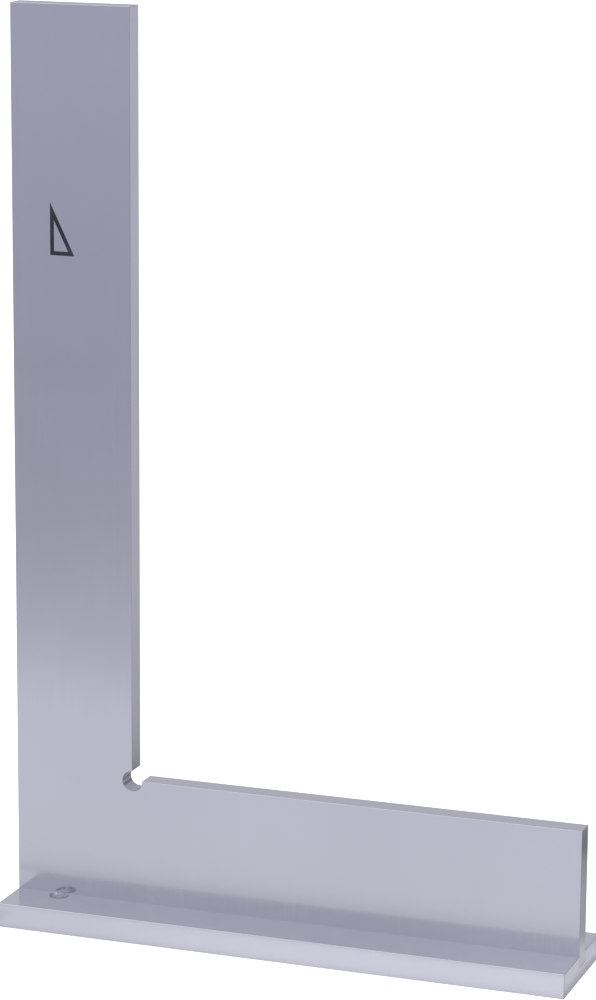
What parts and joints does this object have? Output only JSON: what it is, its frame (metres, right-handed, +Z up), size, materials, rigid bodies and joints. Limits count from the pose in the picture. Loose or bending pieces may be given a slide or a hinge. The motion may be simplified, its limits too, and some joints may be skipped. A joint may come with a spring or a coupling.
{
  "type": "try square",
  "caption": "All-steel L-shaped square with a ground blade let into a flat stop bar, for checking and marking right angles.",
  "frame": {"origin": "centre of the underside of the stop bar, on which the square stands", "axes": "+Z up along the long leg of the blade, +X along the stop from the heel to the toe, +Y across the thickness of the blade"},
  "size_m": [0.13, 0.028, 0.203],
  "materials": {
    "blade_steel": "fine ground, satin",
    "stop_steel": "fine ground, satin",
    "screw_steel": "turned, slightly darker",
    "dowel_steel": "ground pin"
  },
  "bodies": {
    "root": {"blade": "blade_steel", "stop_bar": "stop_steel", "stop_screw_1": "screw_steel", "stop_screw_2": "screw_steel", "stop_screw_3": "screw_steel", "stop_screw_4": "screw_steel", "dowel_pin_1": "dowel_steel", "dowel_pin_2": "dowel_steel"}
  },
  "joints": []
}
